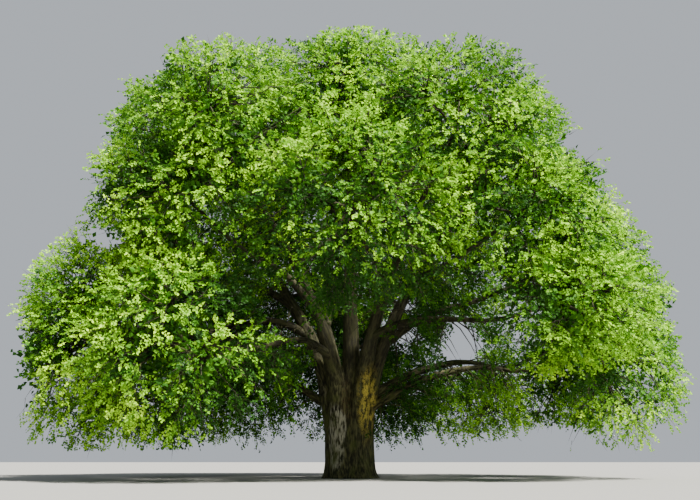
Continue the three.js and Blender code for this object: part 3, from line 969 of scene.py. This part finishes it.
def leaves_of(start, way, size, normal, leaf, random):
    """Leaves in two rows along each spray, and one at its end: (sprays, leaves, 4, 3) corners.

    A leaf is pointed, widest before its middle, and folded a little along its rib.
    """
    shares = np.linspace(LEAF_FROM, 1, LEAVES)
    side = unit(np.cross(normal, way))
    face = unit(np.cross(way, side))
    root = sagging(start, way, size, SPRAY_SAG, shares)
    angle = fan(LEAVES, LEAF_ANGLE) + random.normal(0, SCATTER["leaf"], root.shape[:2])
    rib = np.cos(angle)[..., None] * way[:, None, :]
    rib = rib + (np.sin(angle) * in_turn(LEAVES))[..., None] * side[:, None, :]
    rib = unit(rib - UP * random.uniform(*LEAF_HANG, root.shape[:2])[..., None])
    tilt = unit(face[:, None, :] + random.normal(0, SCATTER["tilt"], root.shape))
    across = unit(np.cross(tilt, rib))
    over = np.cross(rib, across)
    least, gain, waves = LEAF_GROWTH
    long = leaf * (least + gain * np.sin(np.pi * shares * waves))
    long = (long * random.uniform(*LEAF_SPREAD, root.shape[:2]))[..., None]
    return np.stack([
        root + long * (rib * along + across * wide * LEAF_WIDTH / 2 + over * lift)
        for along, wide, lift in LEAF_CORNERS
    ], axis=2)


def seen_in(ellipses, points):
    """True for the points whose line of sight from the front passes through an ellipse.

    The ellipses lie in the upright plane through the trunk's axis, and a smooth noise makes
    their edges ragged.
    """
    share = -CAMERA_PLACE[1] / (points[:, 1] - CAMERA_PLACE[1])
    seen = CAMERA_PLACE + (points - CAMERA_PLACE) * share[:, None]
    edge = 1 + EDGE_ROUGHNESS * noise(points * EDGE_CELLS, seed=51)
    return np.any([
        ((seen[:, 0] - x) / wide) ** 2 + ((seen[:, 2] - z) / tall) ** 2 < edge
        for x, z, wide, tall in ellipses
    ], axis=0)


def in_gap(points):
    """True for the points in a gap, and for those in a bare place that hide the trunk."""
    return seen_in(GAPS, points) | seen_in(BARE, points) & (points[:, 1] < 0)


def above_hem(points):
    """True for the points above the crown's lower edge, which a smooth noise makes ragged."""
    rise = np.clip(HEM_LEVEL + HEM_STRENGTH * noise(points * HEM_CELLS, seed=61), 0, 1)
    return points[:, 2] > LOWEST_LEAF + HEM * rise


def fits_mass(mass, points):
    """True for the points in a mass's space, which neighbours share a little.

    A mass of the skirt reaches further where it hangs.
    """
    limit = LEAF_LIMIT
    if mass["tier"] == "skirt":
        below = (mass["heart"][2] - points[:, 2]) / mass["half"][2]
        limit = limit + HANG * np.clip(below - HANG_FROM, 0, 1)
    return in_space(mass, points, limit, LEAF_MARGIN, LEAF_CLEARANCE)


def fits_beside(points):
    """True for the points beside a limb that are clear of all bark."""
    return clear_of_bark(points, SIDE_LEAF_CLEARANCE)


def have_room(leaves, fit):
    """True for each leaf whose middle fits and is above the crown's lower edge."""
    points = leaves.mean(axis=2).reshape(-1, 3)
    return (fit(points) & above_hem(points)).reshape(leaves.shape[:2])


def tufts(limb, shoots, ways, first, share, fit, random):
    """Twigs, sprays and leaves at the ends of shoots, with a tint for each leaf.

    share is how many of each shoot's sprays are kept, and fit says which points have room.
    """
    points, way, length = twigs_of(shoots, ways, first, random)
    sprays = sprays_of(points, way, length, np.repeat(ways, TWIGS, axis=0), random)
    start, spray, size, _ = sprays
    leaves = leaves_of(*sprays, LEAF_LENGTH, random)
    fits = have_room(leaves, fit)
    shown = random.random(len(start)) < np.repeat(share, TWIGS * SPRAYS)
    shown &= ~in_gap(start) & (fits.sum(axis=1) >= FEWEST_LEAVES)
    fits &= shown[:, None]

    both_ends = np.array([0.0, 1.0])
    stalks = sagging(start, spray, size, SPRAY_SAG, both_ends)[shown]
    used = shown.reshape(-1, SPRAYS).any(axis=1)
    twigs = sagging(points, way, length, TWIG_SAG, both_ends)[used]
    tints = deal_tints(start, depths(start)[:, limb.mass["index"]], random)
    bearing = shoots[used.reshape(-1, TWIGS).any(axis=1)]
    t = np.linspace(0, 1, SHOOT_RINGS)
    slim = np.tile(SHOOT_RADIUS * (1 - SHOOT_TAPER * t), (len(bearing), 1))
    return {
        "wood": tubes(bezier(bearing, t), slim, sides=3),
        "twigs": together([
            tubes(lines, np.full((len(lines), 2), radius), sides=3)
            for lines, radius in ((stalks, SPRAY_RADIUS), (twigs, TWIG_RADIUS))
        ]),
        "leaves": leaves[fits],
        "tints": np.repeat(tints[:, None], LEAVES, axis=1)[fits],
    }


def deep_foliage(mass, shoots, random):
    """Coarse leaves along the inner stretch of the shoots, for the crown's shaded inside."""
    sprays = deep_sprays_of(shoots, random)
    start = sprays[0]
    leaves = leaves_of(*sprays, DEEP_LEAF, random)
    fits = have_room(leaves, lambda p: fits_mass(mass, p)) & ~in_gap(start)[:, None]
    # Painted shade: these coarse leaves take darker tints than their depth gives
    tints = deal_tints(start, depths(start)[:, mass["index"]] - DEEP_SHADE, random)
    return {"leaves": leaves[fits], "tints": np.repeat(tints[:, None], LEAVES, axis=1)[fits]}


def dress_mass(limb):
    """Wood, twigs and leaves of one mass, and of the limb that bears it, as arrays."""
    mass = limb.mass
    thin = THIN.get(key_of(mass), 1)
    random = np.random.default_rng(mass["seed"])
    stem, branches, shoots, ways, outer = grow_mass(limb, random)
    t = np.linspace(0, 1, WOOD_RINGS)
    slim = np.tile(BRANCH_RADIUS + (SHOOT_RADIUS - BRANCH_RADIUS) * t, (BRANCHES, 1))
    share = np.where(outer, 1.0, INNER_SHARE) * thin
    own = tufts(limb, shoots, ways, TWIG_FROM, share, lambda p: fits_mass(mass, p), random)
    deep = deep_foliage(mass, shoots[:int(len(shoots) * thin**2)], random)
    shoots, ways = side_shoots_of(limb, random)
    share = np.ones(len(shoots))
    side = tufts(limb, shoots, ways, SIDE_TWIG_FROM, share, fits_beside, random)
    return {
        "name": mass["name"],
        "tier": mass["tier"],
        "wood": together([
            tubes(bezier(stem, t), limb.tip + (BRANCH_RADIUS - limb.tip) * t[None], sides=8),
            tubes(bezier(branches, t), slim, sides=6),
            own["wood"],
            side["wood"],
        ]),
        "twigs": together([own["twigs"], side["twigs"]]),
        "leaves": np.concatenate([own["leaves"], deep["leaves"], side["leaves"]]),
        "tints": np.concatenate([own["tints"], deep["tints"], side["tints"]]),
    }


def deal_tints(points, depth, random):
    """One of the leaf colours for each spray.

    They are lighter further out and in the clumps, most of all on a clump's upper side. They
    are darker high up, and most of all near the stems under the dome, but less so low down
    on the right. Most of this is painted light and shade: darker deep in a mass, in the valleys
    between the clumps, on their undersides and under the dome, and lighter where painted light
    comes in low on the right. Patches and a random spread are the leaves' own tint.
    """
    # Painted light and shade: darker deeper in a mass, in the valleys between the clumps, on their
    # undersides and under the dome; lighter on the clumps' upper sides and low on the right
    high = ramp(points[:, 2], *HIGH)
    outer = ramp(depth, *OUTER)
    from_axis = np.linalg.norm(points[:, :2] * INSIDE_STRETCH, axis=1)
    under = ramp(points[:, 2], *UNDER) * ramp(from_axis, *INSIDE)
    clump = swell(points)
    painted_top_light = clump - swell(points + UP * CREST)
    low = ramp(points[:, 2], *LOW) * ramp(points[:, 0], *RIGHT)
    light_and_tint = LIGHT_AND_TINT["least"] + LIGHT_AND_TINT["high"] * high + LIGHT_AND_TINT["outer"] * outer
    light_and_tint = light_and_tint + LIGHT_AND_TINT["clump"] * clump + LIGHT_AND_TINT["painted_top_light"] * painted_top_light + LIGHT_AND_TINT["under"] * under
    light_and_tint = light_and_tint + LIGHT_AND_TINT["low"] * low * under
    light_and_tint = light_and_tint + LIGHT_AND_TINT["patch"] * noise(points / PATCH, seed=21)
    light_and_tint = light_and_tint + random.normal(0, LIGHT_AND_TINT["spread"], len(points))
    return np.clip(light_and_tint * len(LEAF_COLOURS), 0, len(LEAF_COLOURS) - 1).astype(int)


# Looks

class Value:
    """A number that a shader works out. A sum written with it adds its Math nodes."""

    def __init__(self, look, socket):
        self.look = look
        self.socket = socket

    def __add__(self, other):
        return self.look.maths("ADD", self, other)

    def __mul__(self, other):
        return self.look.maths("MULTIPLY", self, other)

    def __rsub__(self, other):
        return self.look.maths("SUBTRACT", other, self)

    __radd__ = __add__
    __rmul__ = __mul__


class Look:
    """A material's nodes."""

    def __init__(self, name):
        self.material = bpy.data.materials.new(name)
        self.material.use_nodes = True
        self.tree = self.material.node_tree
        self.tree.nodes.clear()
        self.place = self.add("ShaderNodeTexCoord").outputs["Object"]

    def add(self, kind, settings=(), values=()):
        """Adds a node: its settings first, then the values or links of its sockets."""
        node = self.tree.nodes.new(kind)
        for key, value in dict(settings).items():
            setattr(node, key, value)
        for key, value in dict(values).items():
            socket = node.inputs[key]
            if isinstance(value, Value):
                value = value.socket
            if isinstance(value, bpy.types.NodeSocket):
                self.tree.links.new(value, socket)
            else:
                socket.default_value = value
        return node

    def maths(self, operation, *values):
        node = self.add("ShaderNodeMath", {"operation": operation}, enumerate(values))
        return Value(self, node.outputs[0])

    def cloud(self, stretch, scale, detail, rough=0.55, place=None):
        """Noise from 0 to 1 on the object's own or other coordinates, stretched along its axes."""
        values = {"Vector": place or self.place, "Scale": stretch}
        mapped = self.add("ShaderNodeMapping", {}, values)
        values = {"Vector": mapped.outputs[0], "Scale": scale, "Detail": detail, "Roughness": rough}
        return Value(self, self.add("ShaderNodeTexNoise", {}, values).outputs["Fac"])

    def ease(self, value, low, high):
        """0 below low, 1 above high, and a smooth rise between them."""
        values = {"Value": value, "From Min": low, "From Max": high}
        node = self.add("ShaderNodeMapRange", {"interpolation_type": "SMOOTHSTEP"}, values)
        return Value(self, node.outputs[0])

    def near(self, point, size):
        """1 around a point and 0 past an ellipsoid with that size along each axis."""
        kind = "ShaderNodeVectorMath"
        away = self.add(kind, {"operation": "SUBTRACT"}, {0: self.place, 1: point})
        scaled = self.add(kind, {"operation": "DIVIDE"}, {0: away.outputs[0], 1: size})
        length = self.add(kind, {"operation": "LENGTH"}, {0: scaled.outputs[0]})
        return 1 - self.ease(Value(self, length.outputs["Value"]), 0.35, 1.0)

    def above(self, low, high):
        """0 under one height, 1 over another, and a smooth rise between them."""
        node = self.add("ShaderNodeSeparateXYZ", {}, {0: self.place})
        return self.ease(Value(self, node.outputs["Z"]), low, high)

    def blend(self, a, b, amount):
        """Colour a where the amount is 0 and colour b where it is 1."""
        node = self.add("ShaderNodeMix", {"data_type": "RGBA"}, {0: amount, 6: a, 7: b})
        return node.outputs[2]

    def bump(self, height, strength, distance):
        values = {"Height": height, "Strength": strength, "Distance": distance}
        return self.add("ShaderNodeBump", {}, values).outputs[0]

    def surface(self, base, rough, sheen=0.5):
        """A principled shader with a colour, a roughness and a strength of its reflections."""
        values = {"Base Color": base, "Roughness": rough, "Specular IOR Level": sheen}
        return self.add("ShaderNodeBsdfPrincipled", {}, values)

    def finish(self, shader):
        self.add("ShaderNodeOutputMaterial", {}, {"Surface": shader.outputs[0]})
        return self.material


def colour(tint):
    return (*tint, 1.0)


def bark_look():
    """Dark grey-brown bark, paler on worn plates, with painted shade higher up and a golden,
    mossy patch on the right-hand stem that is partly painted sunlight.
    """
    look = Look("beech_bark")
    grain = look.add("ShaderNodeAttribute", {"attribute_name": "grain"}).outputs["Vector"]
    streaks = look.cloud((1, 1, 0.22), 15, 5, 0.6, grain)
    patches = look.cloud((1, 1, 0.7), 1.6, 3)
    speckle = look.cloud((1, 1, 1), 34, 3)
    greens = look.cloud((1, 1, 0.6), 2.4, 4)
    mottle = look.cloud((1, 1, 0.6), 7, 5, 0.75)
    pale = look.ease(patches + 0.6 * look.near(*WORN_PLACE), 0.62, 0.95)
    gold = look.near(*MOSS_AND_SUNFLECK_PLACE) * look.ease(mottle, 0.42, 0.6)
    rusty = look.near(*RUST_PLACE) * look.ease(speckle, 0.5, 0.65)
    layers = (
        ("plate", look.ease(streaks, 0.38, 0.68)),
        ("worn", pale * look.ease(streaks, 0.4, 0.62)),
        ("green", look.ease(greens, 0.5, 0.7) * 0.6),
        # painted shade: darker higher up, under the crown
        ("shaded", 0.6 * look.above(*SHADED_FROM)),
        # golden, mossy patch, partly painted sunlight
        ("moss_and_sunfleck", gold * look.ease(speckle, 0.3, 0.5)),
        ("rust", rusty * 0.6),
    )
    base = colour(BARK_COLOURS["crack"])
    for name, amount in layers:
        base = look.blend(base, colour(BARK_COLOURS[name]), amount)
    surface = look.surface(base, rough=0.75 + 0.2 * speckle, sheen=0.3)
    bump = look.bump(streaks + 0.35 * speckle, strength=0.7, distance=0.03)
    look.tree.links.new(bump, surface.inputs["Normal"])
    return look.finish(surface)


def twig_look():
    """Thin grey-brown bark of branches and twigs, with lighter flecks."""
    look = Look("twig_bark")
    flecks = look.cloud((1, 1, 1), 18, 3)
    dark = colour(BARK_COLOURS["twig"])
    base = look.blend(dark, colour(BARK_COLOURS["fleck"]), look.ease(flecks, 0.4, 0.65))
    return look.finish(look.surface(base, rough=0.8, sheen=0.3))


def leaf_look(number, tint):
    """One plain leaf colour: a soft sheen on top, and a yellower light that comes through."""
    look = Look(f"leaf_{number}")
    top = look.surface(colour(tint), rough=0.55, sheen=0.14)
    glow = colour(np.multiply(tint, THROUGH_TINT))
    through = look.add("ShaderNodeBsdfTranslucent", {}, {"Color": glow})
    return look.finish(look.add("ShaderNodeMixShader", {}, {
        0: LEAF_THROUGH,
        1: top.outputs[0],
        2: through.outputs[0],
    }))


def make_tree():
    """All pieces of the tree, each kind apart."""
    bark = bark_look()
    twig = twig_look()
    leaf_looks = [leaf_look(k + 1, tint) for k, tint in enumerate(LEAF_COLOURS)]
    make_piece("trunk_bark", *trunk_bark(), [bark], "bark", ["trunk"])
    make_piece("limb_bark", *limb_bark(), [bark], "bark", [item.name for item in limbs])
    dressed = [dress_mass(item) for item in limbs]
    make_piece("branches", *together([d["wood"] for d in dressed]), [bark], "bark")
    for tier, parts in PIECES.items():
        own = [d for d in dressed if d["tier"] == tier]
        vertices, faces, _ = together([d["twigs"] for d in own])
        make_piece(f"{tier}_twigs", vertices, faces, None, [twig], "bark")
        for part in range(parts):
            some = own[part::parts]
            leaves = np.concatenate([d["leaves"] for d in some])
            tints = np.concatenate([d["tints"] for d in some])
            faces = np.arange(len(leaves))[:, None, None] * len(LEAF_CORNERS) + LEAF_FACES
            name = f"{tier}_leaves_{part + 1}"
            make_piece(name, leaves.reshape(-1, 3), [faces.reshape(-1, 3)], None, leaf_looks,
                       "foliage", [d["name"] for d in some], np.repeat(tints, len(LEAF_FACES)))


# Camera, light and floor

def make_stage():
    """A wide pale floor, a soft sun from the front and pale light all round."""
    mesh = bpy.data.meshes.new("floor")
    corners = ((-1, -1), (1, -1), (1, 1), (-1, 1))
    mesh.from_pydata([(FLOOR_HALF * x, FLOOR_HALF * y, 0) for x, y in corners], [], [(0, 1, 2, 3)])
    look = Look("pale_floor")
    surface = look.surface(colour((0.22, 0.22, 0.21)), rough=0.9)
    mesh.materials.append(look.finish(surface))
    floor = place("floor", mesh)

    sun = bpy.data.lights.new("key", "SUN")
    sun.energy = SUN_STRENGTH
    sun.angle = np.radians(SUN_WIDTH)
    sun.color = (1.0, 0.96, 0.88)
    place("key", sun).rotation_euler = np.radians(SUN_TURN)

    world = bpy.data.worlds.new("room")
    world.use_nodes = True
    background = world.node_tree.nodes["Background"]
    background.inputs["Color"].default_value = colour((0.86, 0.92, 1.0))
    background.inputs["Strength"].default_value = ROOM_STRENGTH
    bpy.context.scene.world = world


def make_camera():
    """The camera at the photograph's place and angle."""
    data = bpy.data.cameras.new("camera")
    data.sensor_width = 36
    data.lens = CAMERA_LENS
    data.clip_end = 2000
    camera = place("camera", data)
    camera.location = CAMERA_PLACE
    camera.rotation_euler = (np.radians(90 + CAMERA_TILT), 0, 0)
    bpy.context.scene.camera = camera


make_camera()
make_stage()
make_tree()
